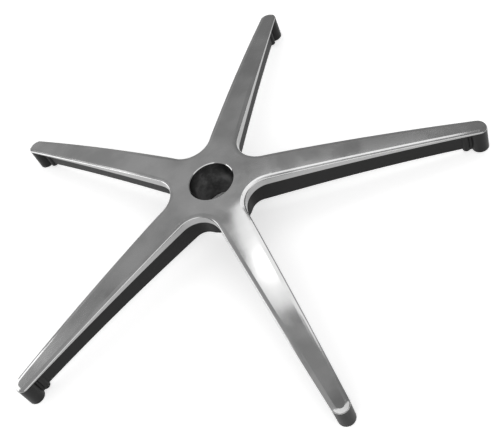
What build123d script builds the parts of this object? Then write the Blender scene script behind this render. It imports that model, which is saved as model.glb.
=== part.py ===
from build123d import *
from math import cos, radians, sin, tan
import os

# Five-arm chair base, one casting: a star-shaped top plate with a rim, and under it a hub
# sleeve, a spine along each arm and a caster socket at each tip.
# Millimetres and degrees. The hub's axis is Z and its flat top is z = 0.
arm_count = 5
draft_angle = 0.8

# Caster socket, blind from below, and the boss round it
socket_radius = 5.5
socket_depth = 24.0
socket_chamfer = 0.6
socket_wall = 3.8
socket_roof = 7.9
boss_edge_chamfer = 0.8

# Gas-lift taper through the hub, and the sleeve round it
bore_top_radius = 25.3
bore_half_angle = 1.4376
bore_mouth_chamfer = 0.8
sleeve_wall = 8.0
hub_height = 51.5

# Star plate, seen from above
tip_radius = 300.0
tip_ledge = 0.6
tip_taper = 2.5
arm_root_half_width = 18.4
notch_radius = 27.0

# Star plate, seen from the side
hub_flat_width = 14.7
shoulder_length = 36.0
root_slope = 6.3
tip_slope = 10.3
rim_height_hub = 9.8
rim_height_middle = 5.7
rim_height_tip = 2.6

# Upper edge of the plate, worn soft by polishing: a shallow roll, then a tight rounding
roll_width = 3.8
roll_drop = 1.1
roll_radius = 8.0
edge_radius = 1.5

# Spine under each arm: level near the hub, then curved down to the boss
spine_thickness = 4.4
spine_level_radius = 92.0
spine_end_rise = 4.6
sleeve_fillet_radius = 16.0

# Ejector post beside each boss, and the neck between them
post_spacing = 15.0
post_radius = 4.5
post_rise = 3.2
neck_thickness = 6.0

# What hangs below the plate runs this far into it
joint_overlap = 1.0
profile_margin = 6.0

boss_radius = socket_radius + socket_wall
tip_round_radius = boss_radius + tip_ledge
boss_circle_radius = tip_radius - tip_round_radius
post_circle_radius = boss_circle_radius - post_spacing
sleeve_radius = bore_top_radius + sleeve_wall
bore_bottom_radius = bore_top_radius - hub_height * tan(radians(bore_half_angle))
hub_flat_radius = bore_top_radius + hub_flat_width
shoulder_radius = hub_flat_radius + shoulder_length
shoulder_bend = shoulder_length / sin(radians(root_slope))
crown_bend = (tip_radius - shoulder_radius) / (sin(radians(tip_slope)) - sin(radians(root_slope)))
tip_tangent_x = boss_circle_radius + tip_round_radius * sin(radians(tip_taper))
tip_tangent_y = tip_round_radius * cos(radians(tip_taper))


def walls_and_tops(plate):
    """The upright faces round the star plate, and the faces that look up."""
    walls = plate.faces().filter_by(GeomType.CYLINDER)
    tops = plate.faces().filter_by(lambda face: face.normal_at().Z > 0) - walls
    return walls, tops


# Top of the plate, from the hub's axis out past the tip
with BuildLine() as top_line:
    hub_flat = Line((0, 0), (hub_flat_radius, 0))
    shoulder = JernArc(hub_flat @ 1, (1, 0), shoulder_bend, -root_slope)
    crown = JernArc(shoulder @ 1, shoulder % 1, crown_bend, root_slope - tip_slope)
    run_out = Line(crown @ 1, crown @ 1 + profile_margin * (crown % 1))

# Underside of the plate: the rim grows thinner towards the tip
under_axis = Vector(0, -rim_height_hub)
under_hub = Vector(hub_flat_radius, -rim_height_hub)
under_middle = crown @ 0.5 - Vector(0, rim_height_middle)
under_end = run_out @ 1 - Vector(0, rim_height_tip)

# Heights of what hangs below. The part stands on its bosses.
floor_z = (crown @ 1).Y - socket_roof - socket_depth
spine_end_z = floor_z + spine_end_rise
post_bottom_z = floor_z + post_rise

# One arm of the plan, along +X
with BuildSketch() as arm_plan:
    with BuildLine():
        side = TangentArc(
            (tip_tangent_x, tip_tangent_y),
            (0, arm_root_half_width),
            tangent=(-cos(radians(tip_taper)), sin(radians(tip_taper))),
        )
        mirror(side, about=Plane.XZ)
        CenterArc((boss_circle_radius, 0), tip_round_radius, tip_taper - 90, 180 - 2 * tip_taper)
        Line((0, arm_root_half_width), (0, -arm_root_half_width))
    make_face()

with BuildSketch(Plane.XY.offset(floor_z)) as star_plan:
    with PolarLocations(0, arm_count):
        add(arm_plan.sketch)
    notch_corners = star_plan.vertices().sort_by(SortBy.DISTANCE)[:arm_count]
    fillet(notch_corners, notch_radius)

# Half section of the room below the plate, reaching joint_overlap into it
with BuildSketch(Plane.XZ) as room_below:
    with BuildLine():
        Line(under_axis + Vector(0, joint_overlap), under_hub + Vector(0, joint_overlap))
        ceiling = ThreePointArc(
            under_hub + Vector(0, joint_overlap),
            under_middle + Vector(0, joint_overlap),
            under_end + Vector(0, joint_overlap),
        )
        Polyline(
            ceiling @ 1,
            ((ceiling @ 1).X, floor_z),
            (0, floor_z),
            under_axis + Vector(0, joint_overlap),
        )
    make_face()

# Half section that the sleeve and the spines fill, down to their undersides
with BuildSketch(Plane.XZ) as spine_reach:
    with BuildLine():
        Line((0, -hub_height), (spine_level_radius, -hub_height))
        spine_under = TangentArc(
            (spine_level_radius, -hub_height), (boss_circle_radius, spine_end_z), tangent=(1, 0)
        )
        Polyline(spine_under @ 1, (boss_circle_radius, 0), (0, 0), (0, -hub_height))
    make_face()

# Hub sleeve and five spines, drafted so that they leave the die
with BuildPart() as spines:
    with BuildSketch(Plane.XY.offset(floor_z)) as spine_plan:
        Circle(sleeve_radius)
        with PolarLocations(boss_circle_radius / 2, arm_count):
            Rectangle(boss_circle_radius, spine_thickness)
        sleeve_corners = spine_plan.vertices().group_by(SortBy.DISTANCE)[0]
        fillet(sleeve_corners, sleeve_fillet_radius)
    extrude(amount=-floor_z)
    spine_walls = spines.faces().sort_by(Axis.Z)[1:-1]
    draft(spine_walls, Plane.XY.offset(floor_z), -draft_angle)
    revolve(spine_reach.sketch, axis=Axis.Z, mode=Mode.INTERSECT)
    revolve(room_below.sketch, axis=Axis.Z, mode=Mode.INTERSECT)

# Caster bosses, ejector posts and the necks between them
with BuildPart() as bosses:
    with BuildSketch(Plane.XY.offset(floor_z)):
        with PolarLocations(boss_circle_radius, arm_count):
            Circle(boss_radius)
    extrude(amount=-floor_z, taper=-draft_angle)
    chamfer(bosses.edges().group_by(Axis.Z)[0], boss_edge_chamfer)
    with BuildSketch(Plane.XY.offset(post_bottom_z)):
        with PolarLocations(post_circle_radius, arm_count):
            Circle(post_radius)
    extrude(amount=-post_bottom_z, taper=-draft_angle)
    with BuildSketch(Plane.XY.offset(post_bottom_z)):
        with PolarLocations(boss_circle_radius - post_spacing / 2, arm_count):
            Rectangle(post_spacing, neck_thickness)
    extrude(amount=-post_bottom_z)
    revolve(room_below.sketch, axis=Axis.Z, mode=Mode.INTERSECT)

with BuildPart() as star_base:
    with BuildSketch(Plane.XZ):
        with BuildLine():
            add(top_line.line)
            Line(run_out @ 1, under_end)
            ThreePointArc(under_end, under_middle, under_hub)
            Polyline(under_hub, under_axis, (0, 0))
        make_face()
    revolve(axis=Axis.Z)
    extrude(star_plan.sketch, amount=-floor_z, mode=Mode.INTERSECT)

    # Upper edge. Each cut starts at an arm's tip and runs on round the whole star.
    walls, tops = walls_and_tops(star_base)
    tip_edge = (walls.edges() & tops.edges()).sort_by(Axis.Y)[-1]
    tip_top = tops.filter_by(lambda face: tip_edge in face.edges())[0]
    chamfer(tip_edge, roll_width, roll_drop, reference=tip_top)
    walls, tops = walls_and_tops(star_base)
    rolls = tops.filter_by(lambda face: face.edges() & walls.edges())
    inner_edges = rolls.edges() & (tops - rolls).edges()
    fillet(inner_edges.sort_by(Axis.Y)[-1], roll_radius)
    walls, tops = walls_and_tops(star_base)
    outer_edges = walls.edges() & tops.edges()
    fillet(outer_edges.sort_by(Axis.Y)[-1], edge_radius)

    add(spines.part)
    add(bosses.part)

    # Gas-lift taper, right through the hub
    with BuildSketch(Plane.XZ):
        with BuildLine():
            Polyline(
                (0, 0),
                (bore_top_radius + bore_mouth_chamfer, 0),
                (bore_top_radius, -bore_mouth_chamfer),
                (bore_bottom_radius, -hub_height),
                (0, -hub_height),
                close=True,
            )
        make_face()
    revolve(axis=Axis.Z, mode=Mode.SUBTRACT)

    # Caster sockets
    with BuildSketch(Plane.XY.offset(floor_z)):
        with PolarLocations(boss_circle_radius, arm_count):
            Circle(socket_radius)
    extrude(amount=socket_depth, mode=Mode.SUBTRACT)
    floor_edges = star_base.edges().filter_by(GeomType.CIRCLE).group_by(Axis.Z)[0]
    chamfer(floor_edges.sort_by(SortBy.RADIUS)[:arm_count], socket_chamfer)

star_base.part.label = "star_base"
os.makedirs("parts", exist_ok=True)
export_step(star_base.part, "parts/star_base.step")
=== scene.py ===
import bpy
from math import radians
from mathutils import Matrix, Vector


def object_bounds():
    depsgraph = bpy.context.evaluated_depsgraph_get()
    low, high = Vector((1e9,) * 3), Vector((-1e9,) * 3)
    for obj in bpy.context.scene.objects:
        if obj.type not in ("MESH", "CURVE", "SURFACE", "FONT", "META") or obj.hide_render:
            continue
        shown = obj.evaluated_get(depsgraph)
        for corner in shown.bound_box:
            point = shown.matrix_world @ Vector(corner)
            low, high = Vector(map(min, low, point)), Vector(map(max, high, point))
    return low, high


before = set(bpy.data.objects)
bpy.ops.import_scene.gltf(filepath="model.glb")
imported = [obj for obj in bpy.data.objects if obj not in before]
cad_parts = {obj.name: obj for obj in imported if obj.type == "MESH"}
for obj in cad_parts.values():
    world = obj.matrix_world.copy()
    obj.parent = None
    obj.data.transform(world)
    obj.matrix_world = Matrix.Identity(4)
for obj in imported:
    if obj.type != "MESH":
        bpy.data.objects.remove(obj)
cad_bounds = [list(corner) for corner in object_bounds()]

# Camera, fitted to the photograph: where it looks from, and where the hub's flat top lies in view
camera_heading = radians(14.907)
camera_dip = radians(50.001)
camera_roll = radians(-26.972)
camera_lens_mm = 64.60
camera_sensor_mm = 36.0
hub_left_of_view = 0.04269
hub_above_view = 0.04164
hub_distance = 0.97962

# The finish's edges, in metres, from the casting's own sizes
bore_edge_radius = 0.0254
bore_edge_depth = 0.0008
under_radii = (0.0400, 0.1880, 0.3059)
under_heights = (-0.0098, -0.0214, -0.0377)
paint_edge = 0.0004

# Polished metal. A pair gives the least and the most of what a noise pattern varies, and a
# spread is the band of the pattern in which it does so.
blotch_scale = 28.0
blotch_spread = (0.35, 0.65)
polish_tones = (0.55, 0.63)
shine_spread = (0.4, 0.6)
polish_roughness = (0.11, 0.15)
rim_wall_tone = 0.38
rim_wall_steepness = (0.2, 0.7)
grain_scale = 900.0
grain_height = 0.000004
specular_level = 0.2

# Black paint below the rim
paint_tone = 0.008
paint_roughness = 0.42

# Bore: random stains in its grey, and painted shade that darkens it towards its lower end
stain_scale = 45.0
stain_spread = (0.35, 0.7)
bore_tones = (0.035, 0.11)
bore_dark_height = -0.036
bore_light_height = -0.018
bore_shade_gains = (0.5, 1.25)
bore_roughness = 0.35

# Floor, in metres
floor_size = 12.0
floor_tone = 0.9
floor_glow = 0.55
# Painted shadow under the hub: a disc in which the floor's glow fades out
hub_shade_centre = (-0.010, 0.033, 0.0)
hub_shade_radius = 0.012
hub_shade_edge = 0.030

# Room round the floor: walls up to a ceiling, darker on one side, with patches in its greys
wall_level = 0.38
ceiling_level = 0.47
ceiling_starts = 0.5
side_reach = (-0.6, 0.5)
side_gains = (1.12, 0.68)
patch_scale = 7.0
patch_spread = (0.35, 0.65)
patch_gains = (0.85, 1.12)

# Darker and lighter places in the room: direction, reach, and level against the room round it
room_marks = (
    ((-0.515, 0.434, 0.739), 0.080, 0.52),
    ((-0.050, 0.910, 0.400), 0.140, 0.76),
    ((-0.190, 0.615, 0.765), 0.080, 1.28),
    ((-0.013, 0.117, 0.993), 0.060, 0.60),
)
mark_core = 0.3

# Lamps, in metres and watts. The overhead panel and the bulb hang level, both turned alike.
overhead_turn = radians(9)
softboxes = {
    "overhead": dict(
        centre=(0.262, 0.378, 0.80), aim=(0.262, 0.378, 0.0),
        width=0.74, length=0.51, watts=1.25, turn=overhead_turn,
    ),
    "bulb": dict(
        centre=(-0.03, 0.20, 0.79), aim=(-0.03, 0.20, 0.0),
        width=0.06, length=0.08, watts=0.025, turn=overhead_turn,
    ),
    "left": dict(centre=(-2.4, 0.65, 0.9), aim=(0, 0, 0), width=1.6, length=1.8, watts=14.0),
    "front": dict(centre=(0.5, -1.5, 1.9), aim=(0, 0, 0), width=4.4, length=3.2, watts=35.0),
}


def quadratic_through(xs, ys):
    """Coefficients, constant first, of the parabola through three points."""
    rows = Matrix([(1, x, x * x) for x in xs])
    return rows.inverted() @ Vector(ys)


class Nodes:
    """A node tree with short calls for the nodes that the materials here use."""

    def __init__(self, tree):
        self.tree = tree
        tree.nodes.clear()

    def add(self, kind, **values):
        node = self.tree.nodes.new(kind)
        for name, value in values.items():
            setattr(node, name, value)
        return node

    def plug(self, source, socket):
        if isinstance(source, bpy.types.NodeSocket):
            self.tree.links.new(source, socket)
        else:
            socket.default_value = source

    def math(self, operation, *inputs):
        node = self.add("ShaderNodeMath", operation=operation)
        for value, socket in zip(inputs, node.inputs):
            self.plug(value, socket)
        return node.outputs[0]

    def ramp(self, value, low, high, to_low=0.0, to_high=1.0):
        node = self.add("ShaderNodeMapRange", interpolation_type="SMOOTHSTEP")
        for source, socket in zip((value, low, high, to_low, to_high), node.inputs):
            self.plug(source, socket)
        return node.outputs[0]

    def noise(self, vector, scale, detail=2.0, roughness=0.5):
        node = self.add("ShaderNodeTexNoise")
        self.plug(vector, node.inputs["Vector"])
        node.inputs["Scale"].default_value = scale
        node.inputs["Detail"].default_value = detail
        node.inputs["Roughness"].default_value = roughness
        return node.outputs["Fac"]

    def mix(self, share, low, high):
        node = self.add("ShaderNodeMix", data_type="FLOAT")
        for source, name in ((share, "Factor"), (low, "A"), (high, "B")):
            self.plug(source, node.inputs[name])
        return node.outputs[0]

    def axes(self, vector):
        node = self.add("ShaderNodeSeparateXYZ")
        self.plug(vector, node.inputs[0])
        return node.outputs

    def distance(self, vector, point):
        node = self.add("ShaderNodeVectorMath", operation="DISTANCE")
        self.plug(vector, node.inputs[0])
        node.inputs[1].default_value = point
        return node.outputs["Value"]


def cast_finish():
    """Polished metal above the rim's lower edge, black paint below it, and a stained bore with
    painted shade towards its lower end.
    """
    material = bpy.data.materials.new("cast_finish")
    material.use_nodes = True
    nodes = Nodes(material.node_tree)
    output = nodes.add("ShaderNodeOutputMaterial")
    shader = nodes.add("ShaderNodeBsdfPrincipled")
    nodes.plug(shader.outputs[0], output.inputs["Surface"])

    coordinates = nodes.add("ShaderNodeTexCoord").outputs
    place = coordinates["Object"]
    x, y, z = nodes.axes(place)
    radius_squared = nodes.math("MULTIPLY_ADD", x, x, nodes.math("MULTIPLY", y, y))
    radius = nodes.math("SQRT", radius_squared)

    # Height above the plate's underside, which falls away from the hub as a parabola
    base, slope, bend = quadratic_through(under_radii, under_heights)
    outer = nodes.math("MAXIMUM", radius, under_radii[0])
    fall = nodes.math("MULTIPLY", nodes.math("MULTIPLY_ADD", outer, bend, slope), outer)
    under = nodes.math("ADD", fall, base)
    above = nodes.math("SUBTRACT", z, under)
    on_plate = nodes.ramp(above, 0.5 * paint_edge, paint_edge)
    in_bore = nodes.math(
        "MULTIPLY",
        nodes.math("LESS_THAN", radius, bore_edge_radius),
        nodes.math("LESS_THAN", z, -bore_edge_depth),
    )
    polish = nodes.math("MULTIPLY", on_plate, nodes.math("SUBTRACT", 1.0, in_bore))

    # Grey of each finish. The rim's upright walls get a darker grey than the top.
    blotch = nodes.noise(place, blotch_scale, 3.0)
    top_tone = nodes.mix(nodes.ramp(blotch, *blotch_spread), *polish_tones)
    facing_up = nodes.axes(coordinates["Normal"])["Z"]
    tone = nodes.mix(nodes.ramp(facing_up, *rim_wall_steepness), rim_wall_tone, top_tone)
    stains = nodes.noise(place, stain_scale, 5.0, 0.7)
    stained = nodes.mix(nodes.ramp(stains, *stain_spread), *bore_tones)
    # Painted shade: the bore's grey darkens towards its lower end
    bore_depth_shade = nodes.ramp(z, bore_dark_height, bore_light_height, *bore_shade_gains)
    bore_tone = nodes.math("MULTIPLY", stained, bore_depth_shade)
    colour = nodes.mix(polish, nodes.mix(in_bore, paint_tone, bore_tone), tone)
    grey = nodes.add("ShaderNodeCombineColor")
    for socket in grey.inputs[:3]:
        nodes.plug(colour, socket)
    nodes.plug(grey.outputs[0], shader.inputs["Base Color"])
    nodes.plug(nodes.math("MAXIMUM", polish, in_bore), shader.inputs["Metallic"])

    dull = nodes.mix(in_bore, paint_roughness, bore_roughness)
    shine = nodes.mix(nodes.ramp(blotch, *shine_spread), *polish_roughness)
    nodes.plug(nodes.mix(polish, dull, shine), shader.inputs["Roughness"])
    shader.inputs["Specular IOR Level"].default_value = specular_level

    bump = nodes.add("ShaderNodeBump")
    bump.inputs["Distance"].default_value = grain_height
    nodes.plug(nodes.noise(place, grain_scale), bump.inputs["Height"])
    nodes.plug(bump.outputs[0], shader.inputs["Normal"])
    return material


def pale_floor():
    """Large matt white floor under the casting. To the eye it glows, but not right below the hub,
    where the glow is taken away as a painted shadow.
    """
    material = bpy.data.materials.new("floor")
    material.use_nodes = True
    nodes = Nodes(material.node_tree)
    output = nodes.add("ShaderNodeOutputMaterial")
    both = nodes.add("ShaderNodeAddShader")
    matt = nodes.add("ShaderNodeBsdfDiffuse")
    matt.inputs["Color"].default_value = (floor_tone, floor_tone, floor_tone, 1)
    glow = nodes.add("ShaderNodeEmission")
    path = nodes.add("ShaderNodeLightPath").outputs
    seen = nodes.math("MAXIMUM", path["Is Camera Ray"], path["Is Glossy Ray"])
    seen = nodes.math("MAXIMUM", seen, path["Is Transmission Ray"])
    # Painted shadow: no glow in a disc under the hub
    from_shade = nodes.distance(nodes.add("ShaderNodeTexCoord").outputs["Object"], hub_shade_centre)
    open_floor = nodes.ramp(from_shade, hub_shade_radius, hub_shade_edge, 0.0, floor_glow)
    nodes.plug(nodes.math("MULTIPLY", seen, open_floor), glow.inputs["Strength"])
    nodes.plug(matt.outputs[0], both.inputs[0])
    nodes.plug(glow.outputs[0], both.inputs[1])
    nodes.plug(both.outputs[0], output.inputs["Surface"])
    bpy.ops.mesh.primitive_plane_add(size=floor_size, location=(0, 0, cad_bounds[0][2]))
    floor = bpy.context.object
    floor.name = "floor"
    floor.data.materials.append(material)


def studio_world():
    """Grey walls at the horizon, a lighter ceiling overhead, and uneven greys on both."""
    world = bpy.data.worlds.new("studio")
    bpy.context.scene.world = world
    world.use_nodes = True
    nodes = Nodes(world.node_tree)
    output = nodes.add("ShaderNodeOutputWorld")
    light = nodes.add("ShaderNodeBackground")
    nodes.plug(light.outputs[0], output.inputs["Surface"])
    direction = nodes.add("ShaderNodeTexCoord").outputs["Generated"]
    axes = nodes.axes(direction)
    level = nodes.ramp(axes["Z"], 0.0, ceiling_starts, wall_level, ceiling_level)
    side = nodes.ramp(axes["X"], *side_reach, *side_gains)
    patches = nodes.ramp(nodes.noise(direction, patch_scale), *patch_spread, *patch_gains)
    strength = nodes.math("MULTIPLY", nodes.math("MULTIPLY", level, side), patches)
    for heading, reach, gain in room_marks:
        away = nodes.distance(direction, heading)
        mark = nodes.ramp(away, mark_core * reach, reach, gain, 1.0)
        strength = nodes.math("MULTIPLY", strength, mark)
    nodes.plug(strength, light.inputs["Strength"])


def add_softbox(name, centre, aim, width, length, watts, turn=0.0):
    """Rectangular lamp that faces a point, turned about its own axis."""
    data = bpy.data.lights.new(name, "AREA")
    data.shape = "RECTANGLE"
    data.size = width
    data.size_y = length
    data.energy = watts
    lamp = bpy.data.objects.new(name, data)
    facing = (Vector(aim) - Vector(centre)).to_track_quat("-Z", "Y")
    spin = Matrix.Rotation(turn, 4, "Z")
    lamp.matrix_world = Matrix.Translation(centre) @ facing.to_matrix().to_4x4() @ spin
    bpy.context.scene.collection.objects.link(lamp)


def add_camera():
    """Camera that sees the hub where the photograph has it."""
    data = bpy.data.cameras.new("camera")
    data.lens = camera_lens_mm
    data.sensor_width = camera_sensor_mm
    data.sensor_fit = "HORIZONTAL"
    camera = bpy.data.objects.new("camera", data)
    bpy.context.scene.collection.objects.link(camera)
    turn = (
        Matrix.Rotation(camera_heading, 4, "Z")
        @ Matrix.Rotation(radians(90) - camera_dip, 4, "X")
        @ Matrix.Rotation(camera_roll, 4, "Z")
    )
    back_off = Matrix.Translation((hub_left_of_view, -hub_above_view, hub_distance))
    camera.matrix_world = turn @ back_off
    bpy.context.scene.camera = camera


star_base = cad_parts["star_base"]
star_base.material_slots[0].material = cast_finish()
pale_floor()
studio_world()
for name, values in softboxes.items():
    add_softbox(name, **values)
add_camera()
bpy.context.scene.view_settings.view_transform = "Standard"
